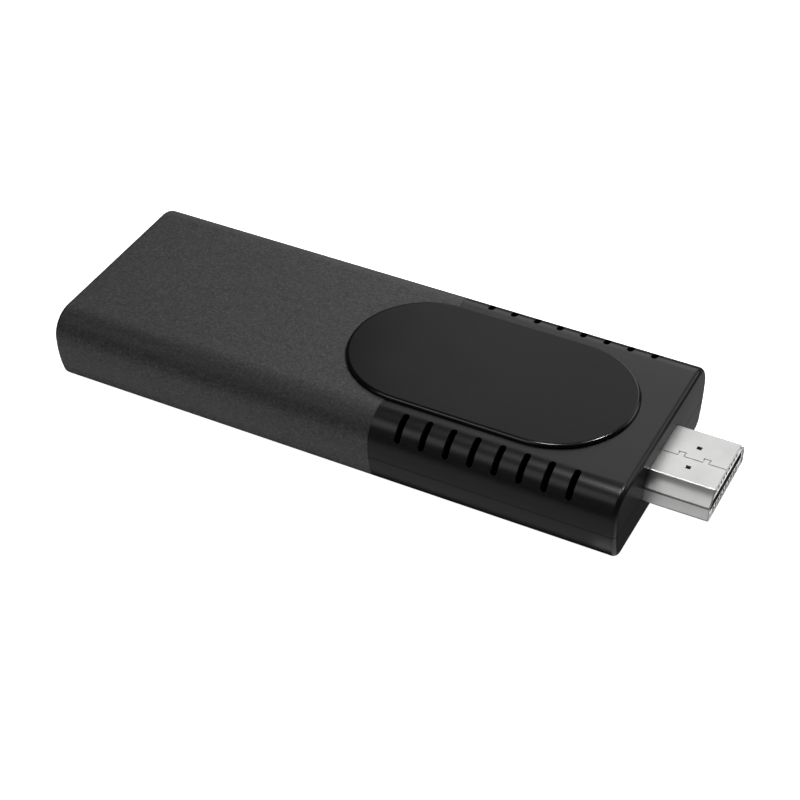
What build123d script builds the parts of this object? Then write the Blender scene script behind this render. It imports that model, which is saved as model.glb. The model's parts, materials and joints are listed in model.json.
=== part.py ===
from build123d import *
from math import cos, radians, sin, sqrt
import os

# Streaming stick, in millimetres. +X runs to the tip of the plug and +Z is up. The origin is on
# the flat bottom, under the middle of the whole length.

# Body, as one outline that the sleeve and both covers share
body_length = 87.3
body_width = 33.5
body_height = 11.4
side_lean = 1.45
side_upright = 0.45
top_round = 3.95
bottom_round = 2.0
end_round = 0.8
least_round = 0.3
wall_bite = 0.2

# Rear sleeve
sleeve_length = 51.1
sleeve_wall = 1.4
sleeve_seam = 0.04
rear_wall = 1.4
rail_width = 2.85
rail_height = 1.2
rail_gap = 1.0

# Upper and lower cover
cover_wall = 1.2
front_wall = 1.2
seam_gap = 0.08
spigot_length = 7.0
spigot_wall = 1.0
spigot_gap = 0.1
collar_length = 1.5
rib_thickness = 1.2
rib_front_gap = 4.4
rib_narrowing = 1.5

# Catches that hold the covers and the sleeve together
hook_length = 5.0
hook_thickness = 0.9
hook_rise = 1.9
hook_depth = 0.35
hook_height = 0.9
hook_gap = 0.1
hook_end_gap = 6.5
lug_length = 2.0
lug_height = 2.0
lug_depth = 0.25
lug_inset = 3.0

# Vent slots in the shoulders of the upper cover, shorter on the left side
vent_count = 8
vent_width = 0.95
vent_front_gap = 6.98
vent_rear_gap = 4.21
vent_top_angle = 79.0
vent_left_angle = 66.0
vent_right_angle = 28.5
vent_reach = 2.4

# Oval plate and its tape
plate_length = 42.5
plate_width = 23.2
plate_front_gap = 4.4
plate_thickness = 0.8
plate_round = 0.5
recess_depth = 0.35
recess_gap = 0.06
adhesive_thickness = 0.1
adhesive_inset = 0.8

# Mainboard
board_thickness = 1.0
board_drop = 0.35
board_side_gap = 1.95
board_rear_gap = 1.2
board_corner = 1.0
chip_gap = 0.6
pad_margin = 2.0

# Plug
plug_reach = 9.2
plug_inner_length = 7.9
plug_width = 13.9
plug_height = 4.45
plug_top_width = 10.2
plug_side_height = 2.55
plug_shoulder_dip = 0.12
plug_corner = 0.5
plug_crease = 0.45
plug_bend = 0.3
plug_wall = 0.3
plug_drop = 1.76
plug_hole_gap = 0.12
plug_bevel = 0.1
core_gap = 0.03
core_setback = 0.2
mouth_width = 12.5
mouth_depth = 7.5
window_width = 0.6
window_height = 0.55
window_depth = 0.8
upper_window_rise = 1.5
lower_window_drop = 1.1
leg_length = 1.8
leg_height = 1.9
leg_gap = 0.1
seam_y = -0.7
seam_width = 0.15
seam_depth = 0.2
tab_depth = 0.8
tab_root = 0.75
tab_tip = 0.95
tab_places = (2.7, 6.2)
latch_place = 4.4
latch_ys = (1.8, -2.5)
latch_length = 0.7
latch_width = 0.65

# Contacts of the plug
contact_width = 0.45
contact_thickness = 0.3
contact_pitch = 1.0
contact_tail = 1.6
contact_setback = 1.3
upper_contact_count = 9
lower_contact_count = 10
contact_relief = 0.15

# Shield, chips and heat sink above the board
shield_length = 22.0
shield_side_gap = 3.9
shield_plug_gap = 3.5
shield_wall = 0.2
shield_flange = 0.7
lid_gap = 0.05
lid_skirt = 1.0
processor_size = 12.0
processor_height = 1.1
processor_shift = -3.4
processor_pad_thickness = 0.45
memory_length = 6.4
memory_height = 1.0
memory_shift = 6.6
chip_edge = 0.1
heat_sink_pad_thickness = 0.5
sink_rear_gap = 0.7
sink_plug_gap = 3.0
sink_edge_gap = 0.2
heat_sink_base = 0.8
fin_count = 9
fin_pitch = 2.5
fin_thickness = 0.8
fin_top_gap = 0.3
fin_side_gap = 0.4

# Chips, shield and spreader below the board
flash_length = 11.5
flash_width = 13.0
flash_height = 1.0
flash_shift = -4.2
flash_pad_thickness = 0.45
power_chip_size = 5.0
power_chip_height = 0.8
power_chip_shift = 6.6
spreader_side_gap = 1.1
spreader_thickness = 0.8

# Screws through heat sink and board
screw_end_gap = 3.0
screw_edge_gap = 1.7
screw_shank = 1.5
screw_length = 6.2
screw_hole_gap = 0.05
screw_head = 2.6
screw_head_height = 0.7
screw_recess = 1.3
screw_recess_depth = 0.35
screw_tip = 0.3
lug_radius = 1.5
boss_radius = 1.6

# Radio, on the board in the sleeve
radio_board_length = 13.0
radio_board_width = 12.2
radio_board_height = 0.6
radio_can_margin = 0.7
radio_can_height = 1.3
radio_can_wall = 0.2
radio_gap = 1.0
antenna_length = 14.0
antenna_height = 3.0
antenna_band = 1.4
antenna_fold = 2.2
antenna_thickness = 0.3
antenna_leg = 1.2
antenna_radio_shift = 9.0
antenna_edge_gap = 0.9

# Smaller parts on the board
crystal_size = (3.2, 2.5, 0.8)
crystal_gap = 5.7
crystal_y = 5.0
inductor_size = (3.0, 3.0, 1.6)
inductor_gap = 10.2
inductor_ys = (-5.5, 0.0, 5.5)
capacitor_size = (1.6, 3.2, 1.4)
capacitor_gap = 5.7
capacitor_ys = (-6.0, -2.0, 2.0, 6.0)

# Power socket in the rear wall
socket_width = 8.94
socket_height = 3.26
socket_length = 7.3
socket_wall = 0.25
socket_recess = 0.6
socket_hole_gap = 0.15
socket_core_length = 1.8
socket_core_gap = 0.03
tongue_width = 6.7
tongue_thickness = 0.7
tongue_setback = 0.8
wing_length = 1.2
wing_reach = 1.3
wing_thickness = 0.3
wing_spread = 2.6
socket_contact_count = 12
socket_contact_pitch = 0.5
socket_contact_width = 0.25
socket_contact_length = 3.4
socket_contact_thickness = 0.08
socket_contact_setback = 0.5

# Reset button and its switch
button_edge_gap = 3.4
button_diameter = 2.8
button_recess = 0.3
button_travel = 0.3
button_gap = 0.1
button_edge = 0.2
flange_diameter = 4.0
flange_thickness = 0.5
flange_gap = 0.1
plunger_diameter = 1.2
plunger_reach = 0.8
plunger_grip = 0.5
plunger_gap = 0.08
switch_length = 3.0
switch_width = 4.2
switch_height = 1.9

# Indicator and its light pipe
pipe_edge_gap = 3.4
pipe_diameter = 1.6
pipe_gap = 0.03
pipe_setback = 0.05
pipe_flange = 2.4
pipe_flange_length = 0.6
led_length = 1.2
led_width = 1.8
led_height = 1.6

# Places along the body
front_x = (body_length - plug_reach) / 2
rear_x = front_x - body_length
tip_x = front_x + plug_reach
sleeve_front_x = rear_x + sleeve_length
cover_rear_x = sleeve_front_x + sleeve_seam
cover_front_x = front_x - front_wall
collar_front_x = cover_rear_x + collar_length
spigot_rear_x = sleeve_front_x - spigot_length
rear_inner_x = rear_x + rear_wall
plug_rear_x = front_x - plug_inner_length
rib_x = front_x - rib_front_gap
board_rear_x = rear_inner_x + board_rear_gap
board_front_x = plug_rear_x - leg_gap
board_length = board_front_x - board_rear_x
board_width = body_width - 2 * (sleeve_wall + board_side_gap)
plate_x = front_x - plate_front_gap - plate_length / 2
shield_x = plug_rear_x - shield_plug_gap - shield_length / 2
shield_width = board_width - 2 * shield_side_gap
processor_x = shield_x + processor_shift
memory_x = shield_x + memory_shift
memory_width = shield_width / 2 - shield_wall - 1.5 * chip_gap
memory_y = (memory_width + chip_gap) / 2
flash_x = shield_x + flash_shift
heat_sink_rear_x = collar_front_x + sink_rear_gap
heat_sink_front_x = plug_rear_x - sink_plug_gap
heat_sink_x = (heat_sink_rear_x + heat_sink_front_x) / 2
heat_sink_length = heat_sink_front_x - heat_sink_rear_x
heat_sink_width = board_width - 2 * sink_edge_gap
heat_sink_pad_length = shield_length - 2 * pad_margin
heat_sink_pad_width = shield_width - 2 * pad_margin
screw_spread_x = heat_sink_length - 2 * screw_end_gap
screw_spread_y = board_width - 2 * screw_edge_gap
screw_places = (
    (heat_sink_x - screw_spread_x / 2, -screw_spread_y / 2),
    (heat_sink_x + screw_spread_x / 2, screw_spread_y / 2),
)
fin_width = screw_spread_y - 2 * (lug_radius + fin_side_gap)
spreader_length = heat_sink_length
spreader_width = screw_spread_y - 2 * (boss_radius + spreader_side_gap)
spreader_pad_length = spreader_length - 2 * pad_margin
spreader_pad_width = spreader_width - 2 * pad_margin
radio_x = spigot_rear_x - radio_gap - radio_board_length / 2
antenna_x = radio_x - antenna_radio_shift
crystal_place = (sleeve_front_x - crystal_gap, crystal_y)
socket_mouth_x = rear_x + socket_recess
socket_front_x = socket_mouth_x + socket_length
inductor_places = [(socket_front_x + inductor_gap, y) for y in inductor_ys]
capacitor_places = [(socket_front_x + capacitor_gap, y) for y in capacitor_ys]
button_y = board_width / 2 - button_edge_gap
pipe_y = pipe_edge_gap - board_width / 2

# Heights
floor_z = cover_wall
ceiling_z = body_height - cover_wall
widest_z = body_height - top_round - side_upright
lean_radius = (side_lean**2 + widest_z**2) / (2 * side_lean)
board_middle_z = body_height / 2 - board_drop
board_bottom_z = board_middle_z - board_thickness / 2
board_top_z = board_middle_z + board_thickness / 2
parting_z = board_bottom_z
plug_bottom_z = board_middle_z - plug_drop
plug_top_z = plug_bottom_z + plug_height
lid_bottom_z = board_top_z + processor_height + processor_pad_thickness
lid_top_z = lid_bottom_z + shield_wall
heat_sink_z = lid_top_z + heat_sink_pad_thickness
heat_sink_top_z = heat_sink_z + heat_sink_base
fin_height = ceiling_z - fin_top_gap - heat_sink_top_z
screw_seat_z = heat_sink_top_z - screw_recess_depth
flash_bottom_z = board_bottom_z - flash_height
lower_shield_inner_z = flash_bottom_z - flash_pad_thickness
lower_shield_z = lower_shield_inner_z - shield_wall
spreader_top_z = floor_z + spreader_thickness
recess_z = body_height - recess_depth
plate_z = recess_z + adhesive_thickness

# Insets from the body's outline
spigot_inset = sleeve_wall + spigot_gap
spigot_inner_inset = spigot_inset + spigot_wall
collar_inset = cover_wall / 2

hook_xs = (cover_rear_x + hook_end_gap, cover_front_x - hook_end_gap)
vent_row = front_x - vent_front_gap - cover_rear_x - vent_rear_gap
vent_pitch = vent_row / (vent_count - 1)
vent_xs = [front_x - vent_front_gap - vent_pitch * number for number in range(vent_count)]
button_z = board_top_z + switch_height / 2

resting = (Align.CENTER, Align.CENTER, Align.MIN)
hanging = (Align.CENTER, Align.CENTER, Align.MAX)

os.makedirs("parts", exist_ok=True)


def side_y(z, inset):
    """How far the leaning side stands from the middle at height z, drawn in by inset."""
    radius = lean_radius - inset
    return body_width / 2 - lean_radius + sqrt(radius**2 - (widest_z - z) ** 2)


def body_outline(x, inset):
    """The body's cross-section at x, drawn in from the outside by inset."""
    half_width = body_width / 2 - inset
    low = inset
    high = body_height - inset
    foot_y = side_y(low, inset)
    waist_z = (low + widest_z) / 2
    waist_y = side_y(waist_z, inset)
    with BuildSketch(Plane.YZ.offset(x)) as outline:
        with BuildLine():
            Line((-foot_y, low), (foot_y, low))
            ThreePointArc((foot_y, low), (waist_y, waist_z), (half_width, widest_z))
            Polyline(
                (half_width, widest_z),
                (half_width, high),
                (-half_width, high),
                (-half_width, widest_z),
            )
            ThreePointArc((-half_width, widest_z), (-waist_y, waist_z), (-foot_y, low))
        make_face()
        fillet(outline.vertices().group_by(Axis.Y)[0], max(bottom_round - inset, least_round))
        fillet(outline.vertices().group_by(Axis.Y)[-1], max(top_round - inset, least_round))
    return outline.sketch


def plug_outline(x, inset):
    """The plug's cross-section at x, wide side down, drawn in from the outside by inset."""
    side = plug_width / 2
    top = plug_top_width / 2
    shoulder_z = plug_bottom_z + plug_side_height
    dip_y = (side + top) / 2 - plug_shoulder_dip
    dip_z = (shoulder_z + plug_top_z) / 2 - plug_shoulder_dip
    with BuildSketch(Plane.YZ.offset(x)) as outline:
        with BuildLine():
            Polyline(
                (-side, shoulder_z),
                (-side, plug_bottom_z),
                (side, plug_bottom_z),
                (side, shoulder_z),
            )
            ThreePointArc((side, shoulder_z), (dip_y, dip_z), (top, plug_top_z))
            Line((top, plug_top_z), (-top, plug_top_z))
            ThreePointArc((-top, plug_top_z), (-dip_y, dip_z), (-side, shoulder_z))
        make_face()
        if inset != 0:
            offset(amount=-inset, kind=Kind.INTERSECTION, mode=Mode.REPLACE)
        fillet(outline.vertices().group_by(Axis.Y)[1], max(plug_crease - inset, plug_wall / 2))
        fillet(outline.vertices().group_by(Axis.Y)[0], max(plug_corner - inset, plug_wall / 2))
        fillet(outline.vertices().group_by(Axis.Y)[-1], max(plug_bend - inset, plug_wall / 2))
    return outline.sketch


def stadium(z, inset):
    """The oval plate's outline at height z, drawn in by inset."""
    with BuildSketch(Plane.XY.offset(z)) as outline:
        with Locations((plate_x, 0)):
            SlotOverall(plate_length - 2 * inset, plate_width - 2 * inset)
    return outline.sketch


def slot_outline(x, width, height):
    """A slot lying across the body at x, centred on the board's mid-plane."""
    with BuildSketch(Plane.YZ.offset(x)) as outline:
        with Locations((0, board_middle_z)):
            SlotOverall(width, height)
    return outline.sketch


def disc(x, y, z, diameter):
    """A round outline at x, facing along the body."""
    with BuildSketch(Plane.YZ.offset(x)) as outline:
        with Locations((y, z)):
            Circle(diameter / 2)
    return outline.sketch


def chip(name, place, base_z, size, upward=True):
    """A moulded chip whose flat face is soldered to the board at base_z."""
    length, width, height = size
    rise = height if upward else -height
    with BuildPart() as package:
        with BuildSketch(Plane.XY.offset(base_z)):
            with Locations(place):
                Rectangle(length, width)
        extrude(amount=rise)
        free_edges = package.edges().group_by(Axis.Z)[-1 if upward else 0]
        chamfer(free_edges, chip_edge)
    package.part.label = name
    export_step(package.part, f"parts/{name}.step")


def pad(name, place, low_z, length, width, thickness):
    """A soft heat-conducting pad squeezed flat between two faces."""
    with BuildPart() as cushion:
        with BuildSketch(Plane.XY.offset(low_z)):
            with Locations(place):
                RectangleRounded(length, width, least_round)
        extrude(amount=thickness)
    cushion.part.label = name
    export_step(cushion.part, f"parts/{name}.step")


# Rear sleeve: a cap closed at the rear, with rails that carry the board's sides
with BuildPart() as rear_sleeve:
    extrude(body_outline(rear_x, 0), amount=sleeve_length)
    fillet(rear_sleeve.faces().sort_by(Axis.X)[0].edges(), end_round)
    extrude(body_outline(rear_inner_x, sleeve_wall), amount=sleeve_length, mode=Mode.SUBTRACT)
    rail_length = spigot_rear_x - rail_gap - rear_inner_x
    rail_x = rear_inner_x + rail_length / 2
    rail_y = body_width / 2 - sleeve_wall - rail_width / 2 + wall_bite
    with Locations((rail_x, rail_y, board_bottom_z), (rail_x, -rail_y, board_bottom_z)):
        Box(rail_length, rail_width, rail_height, align=hanging)
    lug_x = sleeve_front_x - lug_inset
    lug_z = board_top_z + lug_height / 2
    lug_y = body_width / 2 - sleeve_wall + lug_depth - spigot_gap
    with Locations((lug_x, 0, lug_z)):
        Box(
            lug_length + 2 * hook_gap,
            2 * (lug_y + hook_gap),
            lug_height + 2 * hook_gap,
            mode=Mode.SUBTRACT,
        )
    extrude(stadium(recess_z, -recess_gap), amount=recess_depth, mode=Mode.SUBTRACT)
    extrude(
        slot_outline(rear_x, socket_width + 2 * socket_hole_gap, socket_height + 2 * socket_hole_gap),
        amount=rear_wall,
        mode=Mode.SUBTRACT,
    )
    extrude(
        disc(rear_x, button_y, button_z, button_diameter + 2 * button_gap),
        amount=rear_wall,
        mode=Mode.SUBTRACT,
    )
    extrude(
        disc(rear_x, pipe_y, button_z, pipe_diameter + 2 * pipe_gap),
        amount=rear_wall,
        mode=Mode.SUBTRACT,
    )
rear_sleeve.part.label = "rear_sleeve"
export_step(rear_sleeve.part, "parts/rear_sleeve.step")


# Both covers start as one closed shell with a spigot for the sleeve, which the parting line halves
with BuildPart() as cover_shell:
    extrude(body_outline(cover_rear_x, 0), amount=front_x - cover_rear_x)
    fillet(cover_shell.faces().sort_by(Axis.X)[-1].edges(), end_round)
    extrude(
        body_outline(cover_rear_x, cover_wall),
        amount=cover_front_x - cover_rear_x,
        mode=Mode.SUBTRACT,
    )
    extrude(body_outline(cover_rear_x, collar_inset), amount=collar_length)
    spigot_full_length = collar_front_x - spigot_rear_x
    extrude(body_outline(spigot_rear_x, spigot_inset), amount=spigot_full_length)
    extrude(
        body_outline(spigot_rear_x, spigot_inner_inset),
        amount=spigot_full_length,
        mode=Mode.SUBTRACT,
    )
    extrude(plug_outline(cover_front_x, -plug_hole_gap), amount=front_wall, mode=Mode.SUBTRACT)

cut_length = 2 * body_length
cut_width = 2 * body_width
hook_outer_y = side_y(parting_z, cover_wall) - hook_gap

# Upper cover: carries the vents, the upper part of the front wall and half of the spigot
with BuildPart() as upper_cover:
    add(cover_shell.part)
    with Locations((0, 0, parting_z + seam_gap / 2)):
        Box(cut_length, cut_width, cut_width, align=hanging, mode=Mode.SUBTRACT)
    with Locations((rib_x, 0, plug_top_z)):
        Box(
            rib_thickness,
            plug_top_width - 2 * rib_narrowing,
            ceiling_z + collar_inset - plug_top_z,
            align=resting,
        )
    extrude(stadium(recess_z, -recess_gap), amount=recess_depth, mode=Mode.SUBTRACT)
    shoulder_y = body_width / 2 - top_round
    shoulder_z = body_height - top_round
    vent_top_y = shoulder_y + top_round * cos(radians(vent_top_angle))
    vent_top_z = shoulder_z + top_round * sin(radians(vent_top_angle))
    for side, low_angle in ((1, vent_left_angle), (-1, vent_right_angle)):
        vent_low_y = shoulder_y + top_round * cos(radians(low_angle))
        vent_low_z = shoulder_z + top_round * sin(radians(low_angle))
        vent_span = Vector(vent_low_y - vent_top_y, vent_top_z - vent_low_z).length
        vent_plane = Plane(
            origin=(0, side * (vent_top_y + vent_low_y) / 2, (vent_top_z + vent_low_z) / 2),
            x_dir=(1, 0, 0),
            z_dir=(0, side * (vent_top_z - vent_low_z), vent_low_y - vent_top_y),
        )
        with BuildSketch(vent_plane):
            with Locations([(x, 0) for x in vent_xs]):
                SlotCenterToCenter(vent_span, vent_width, rotation=90)
        extrude(amount=vent_reach, both=True, mode=Mode.SUBTRACT)
    pocket_z = parting_z + hook_rise - hook_height / 2
    pocket_y = hook_outer_y + hook_depth + hook_gap
    with Locations([(x, 0, pocket_z) for x in hook_xs]):
        Box(
            hook_length + 2 * hook_gap,
            2 * pocket_y,
            hook_height + 2 * hook_gap,
            mode=Mode.SUBTRACT,
        )
    lug_width = lug_y - body_width / 2 + spigot_inner_inset
    for side in (1, -1):
        with Locations((lug_x, side * (lug_y - lug_width / 2), lug_z)):
            Box(lug_length, lug_width, lug_height)
upper_cover.part.label = "upper_cover"
export_step(upper_cover.part, "parts/upper_cover.step")


# Lower cover: a tray with the screw bosses, a rest for the plug and the hooks for the upper cover
with BuildPart() as lower_cover:
    add(cover_shell.part)
    with Locations((0, 0, parting_z - seam_gap / 2)):
        Box(cut_length, cut_width, cut_width, align=resting, mode=Mode.SUBTRACT)
    with Locations([(x, y, collar_inset) for x, y in screw_places]):
        Cylinder(boss_radius, board_bottom_z - collar_inset, align=resting)
    with Locations([(x, y, board_bottom_z) for x, y in screw_places]):
        Cylinder(
            screw_shank / 2 + screw_hole_gap,
            board_bottom_z - floor_z,
            align=hanging,
            mode=Mode.SUBTRACT,
        )
    with Locations((rib_x, 0, collar_inset)):
        Box(
            rib_thickness,
            plug_width - 2 * rib_narrowing,
            plug_bottom_z - collar_inset,
            align=resting,
        )
    hook_top_z = parting_z + hook_rise
    hook_foot_z = parting_z / 2
    for x in hook_xs:
        for side in (1, -1):
            with BuildSketch(Plane.YZ.offset(x)):
                with BuildLine():
                    Polyline(
                        (side * (hook_outer_y - hook_thickness), hook_foot_z),
                        (side * (hook_outer_y - hook_thickness), hook_top_z),
                        (side * hook_outer_y, hook_top_z),
                        (side * (hook_outer_y + hook_depth), hook_top_z - hook_height),
                        (side * hook_outer_y, hook_top_z - hook_height),
                        (side * hook_outer_y, hook_foot_z),
                        close=True,
                    )
                make_face()
            extrude(amount=hook_length / 2, both=True)
lower_cover.part.label = "lower_cover"
export_step(lower_cover.part, "parts/lower_cover.step")


# Oval plate and its tape, in the recess that crosses the sleeve and the upper cover
with BuildPart() as top_plate:
    extrude(stadium(plate_z, 0), amount=plate_thickness)
    fillet(top_plate.faces().sort_by(Axis.Z)[-1].edges(), plate_round)
top_plate.part.label = "top_plate"
export_step(top_plate.part, "parts/top_plate.step")

with BuildPart() as plate_adhesive:
    extrude(stadium(recess_z, adhesive_inset), amount=adhesive_thickness)
plate_adhesive.part.label = "plate_adhesive"
export_step(plate_adhesive.part, "parts/plate_adhesive.step")


# Mainboard: notched for the power socket and for the plug's legs, drilled for the screws
leg_y = (plug_width - plug_wall) / 2
with BuildPart() as mainboard:
    with BuildSketch(Plane.XY.offset(board_bottom_z)):
        with Locations(((board_rear_x + board_front_x) / 2, 0)):
            RectangleRounded(board_length, board_width, board_corner)
        with Locations((board_rear_x, 0)):
            Rectangle(
                2 * (socket_front_x + socket_hole_gap - board_rear_x),
                socket_width + 2 * socket_hole_gap,
                mode=Mode.SUBTRACT,
            )
        with Locations((plug_rear_x, leg_y), (plug_rear_x, -leg_y)):
            Rectangle(
                2 * (leg_length + leg_gap),
                plug_wall + 2 * leg_gap,
                mode=Mode.SUBTRACT,
            )
        with Locations(screw_places):
            Circle(screw_shank / 2 + screw_hole_gap, mode=Mode.SUBTRACT)
    extrude(amount=board_thickness)
mainboard.part.label = "mainboard"
export_step(mainboard.part, "parts/mainboard.step")


# Plug shell: folded sheet with a dovetailed seam, two latch holes and two legs behind
with BuildPart() as hdmi_shell:
    extrude(plug_outline(plug_rear_x, 0), amount=tip_x - plug_rear_x)
    chamfer(hdmi_shell.faces().sort_by(Axis.X)[-1].edges(), plug_bevel)
    with Locations((plug_rear_x, leg_y, board_middle_z), (plug_rear_x, -leg_y, board_middle_z)):
        Box(
            leg_length,
            plug_wall,
            leg_height,
            align=(Align.MAX, Align.CENTER, Align.CENTER),
        )
    extrude(plug_outline(plug_rear_x, plug_wall), amount=tip_x - plug_rear_x, mode=Mode.SUBTRACT)
    with BuildSketch(Plane.XY.offset(plug_top_z)):
        with BuildLine() as seam:
            seam_points = [(front_x, seam_y)]
            for place in tab_places:
                middle = front_x + place
                seam_points.append((middle - tab_root / 2, seam_y))
                seam_points.append((middle - tab_tip / 2, seam_y + tab_depth))
                seam_points.append((middle + tab_tip / 2, seam_y + tab_depth))
                seam_points.append((middle + tab_root / 2, seam_y))
            seam_points.append((tip_x, seam_y))
            Polyline(*seam_points)
        trace(line_width=seam_width)
    extrude(amount=-seam_depth, mode=Mode.SUBTRACT)
    with Locations([(front_x + latch_place, y, plug_top_z) for y in latch_ys]):
        Box(latch_length, latch_width, 2 * plug_wall, align=hanging, mode=Mode.SUBTRACT)
hdmi_shell.part.label = "hdmi_shell"
export_step(hdmi_shell.part, "parts/hdmi_shell.step")


# Contacts lie on the board's two faces and run straight into the plug's mouth
contact_rear_x = board_front_x - contact_tail
contact_length = tip_x - contact_setback - contact_rear_x
groove_length = contact_length + contact_relief


def contact_row(count):
    """Places across the plug of one row of contacts."""
    return [contact_pitch * (number - (count - 1) / 2) for number in range(count)]


upper_bars = [(contact_rear_x, y, board_top_z) for y in contact_row(upper_contact_count)]
lower_bars = [(contact_rear_x, y, board_bottom_z) for y in contact_row(lower_contact_count)]
bar_up = (Align.MIN, Align.CENTER, Align.MIN)
bar_down = (Align.MIN, Align.CENTER, Align.MAX)

with BuildPart() as hdmi_contacts_upper:
    with Locations(upper_bars):
        Box(contact_length, contact_width, contact_thickness, align=bar_up)
hdmi_contacts_upper.part.label = "hdmi_contacts_upper"
export_step(hdmi_contacts_upper.part, "parts/hdmi_contacts_upper.step")

with BuildPart() as hdmi_contacts_lower:
    with Locations(lower_bars):
        Box(contact_length, contact_width, contact_thickness, align=bar_down)
hdmi_contacts_lower.part.label = "hdmi_contacts_lower"
export_step(hdmi_contacts_lower.part, "parts/hdmi_contacts_lower.step")

# Plug core: fills the shell around a mouth for the socket's tongue, with a groove and a window
# in its front for each contact
with BuildPart() as hdmi_insulator:
    core_length = tip_x - core_setback - plug_rear_x
    extrude(plug_outline(plug_rear_x, plug_wall + core_gap), amount=core_length)
    with Locations((tip_x, 0, board_middle_z)):
        Box(
            mouth_depth,
            mouth_width,
            board_thickness + 2 * contact_relief,
            align=(Align.MAX, Align.CENTER, Align.CENTER),
            mode=Mode.SUBTRACT,
        )
    with Locations(upper_bars):
        Box(groove_length, contact_width, contact_thickness, align=bar_up, mode=Mode.SUBTRACT)
    with Locations(lower_bars):
        Box(groove_length, contact_width, contact_thickness, align=bar_down, mode=Mode.SUBTRACT)
    window_x = tip_x - core_setback
    upper_window_z = board_middle_z + upper_window_rise
    lower_window_z = board_middle_z - lower_window_drop
    window_places = [(window_x, y, upper_window_z) for y in contact_row(upper_contact_count)]
    window_places += [(window_x, y, lower_window_z) for y in contact_row(lower_contact_count)]
    with Locations(window_places):
        Box(2 * window_depth, window_width, window_height, mode=Mode.SUBTRACT)
hdmi_insulator.part.label = "hdmi_insulator"
export_step(hdmi_insulator.part, "parts/hdmi_insulator.step")


# Chips on the board, and the soft pads that carry their heat away
chip("processor", (processor_x, 0), board_top_z, (processor_size, processor_size, processor_height))
chip("memory_chip_left", (memory_x, memory_y), board_top_z, (memory_length, memory_width, memory_height))
chip("memory_chip_right", (memory_x, -memory_y), board_top_z, (memory_length, memory_width, memory_height))
chip(
    "flash_chip",
    (flash_x, 0),
    board_bottom_z,
    (flash_length, flash_width, flash_height),
    upward=False,
)
chip(
    "power_chip",
    (shield_x + power_chip_shift, 0),
    board_bottom_z,
    (power_chip_size, power_chip_size, power_chip_height),
    upward=False,
)
chip("crystal", crystal_place, board_top_z, crystal_size)
pad(
    "processor_pad",
    (processor_x, 0),
    board_top_z + processor_height,
    processor_size,
    processor_size,
    processor_pad_thickness,
)
pad(
    "heat_sink_pad",
    (shield_x, 0),
    lid_top_z,
    heat_sink_pad_length,
    heat_sink_pad_width,
    heat_sink_pad_thickness,
)
pad(
    "flash_pad",
    (flash_x, 0),
    lower_shield_inner_z,
    flash_length,
    flash_width,
    flash_pad_thickness,
)
pad(
    "spreader_pad",
    (heat_sink_x, 0),
    spreader_top_z,
    spreader_pad_length,
    spreader_pad_width,
    lower_shield_z - spreader_top_z,
)


# Shield frame: a fence around the chips with a flange that the lid rests on
with BuildPart() as shield_frame:
    with Locations((shield_x, 0, board_top_z)):
        Box(shield_length, shield_width, lid_bottom_z - board_top_z, align=resting)
        Box(
            shield_length - 2 * shield_wall,
            shield_width - 2 * shield_wall,
            lid_bottom_z - board_top_z - shield_wall,
            align=resting,
            mode=Mode.SUBTRACT,
        )
        Box(
            shield_length - 2 * shield_flange,
            shield_width - 2 * shield_flange,
            lid_bottom_z - board_top_z,
            align=resting,
            mode=Mode.SUBTRACT,
        )
shield_frame.part.label = "shield_frame"
export_step(shield_frame.part, "parts/shield_frame.step")

# Shield lid: snaps over the frame
with BuildPart() as shield_lid:
    lid_length = shield_length + 2 * (lid_gap + shield_wall)
    lid_width = shield_width + 2 * (lid_gap + shield_wall)
    with Locations((shield_x, 0, lid_top_z)):
        Box(lid_length, lid_width, lid_skirt + shield_wall, align=hanging)
    with Locations((shield_x, 0, lid_bottom_z)):
        Box(
            shield_length + 2 * lid_gap,
            shield_width + 2 * lid_gap,
            lid_skirt,
            align=hanging,
            mode=Mode.SUBTRACT,
        )
shield_lid.part.label = "shield_lid"
export_step(shield_lid.part, "parts/shield_lid.step")

# Lower shield: a one-piece can soldered to the board's underside
with BuildPart() as lower_shield:
    with Locations((shield_x, 0, board_bottom_z)):
        Box(shield_length, shield_width, board_bottom_z - lower_shield_z, align=hanging)
        Box(
            shield_length - 2 * shield_wall,
            shield_width - 2 * shield_wall,
            board_bottom_z - lower_shield_inner_z,
            align=hanging,
            mode=Mode.SUBTRACT,
        )
lower_shield.part.label = "lower_shield"
export_step(lower_shield.part, "parts/lower_shield.step")


# Heat sink: a finned plate on two legs that stand on the board at the screws
with BuildPart() as heat_sink:
    with Locations((heat_sink_x, 0, heat_sink_z)):
        Box(heat_sink_length, heat_sink_width, heat_sink_base, align=resting)
    with Locations((heat_sink_x, 0, heat_sink_top_z)):
        with GridLocations(fin_pitch, 0, fin_count, 1):
            Box(fin_thickness, fin_width, fin_height, align=resting)
    with Locations([(x, y, board_top_z) for x, y in screw_places]):
        Cylinder(lug_radius, heat_sink_z - board_top_z, align=resting)
    with Locations([(x, y, heat_sink_top_z) for x, y in screw_places]):
        CounterBoreHole(
            screw_shank / 2 + screw_hole_gap,
            screw_recess + screw_hole_gap,
            screw_recess_depth,
        )
heat_sink.part.label = "heat_sink"
export_step(heat_sink.part, "parts/heat_sink.step")

# Heat spreader: a plate stuck to the floor of the lower cover
with BuildPart() as heat_spreader:
    with BuildSketch(Plane.XY.offset(floor_z)):
        with Locations((heat_sink_x, 0)):
            RectangleRounded(spreader_length, spreader_width, board_corner)
    extrude(amount=spreader_thickness)
heat_spreader.part.label = "heat_spreader"
export_step(heat_spreader.part, "parts/heat_spreader.step")

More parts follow.
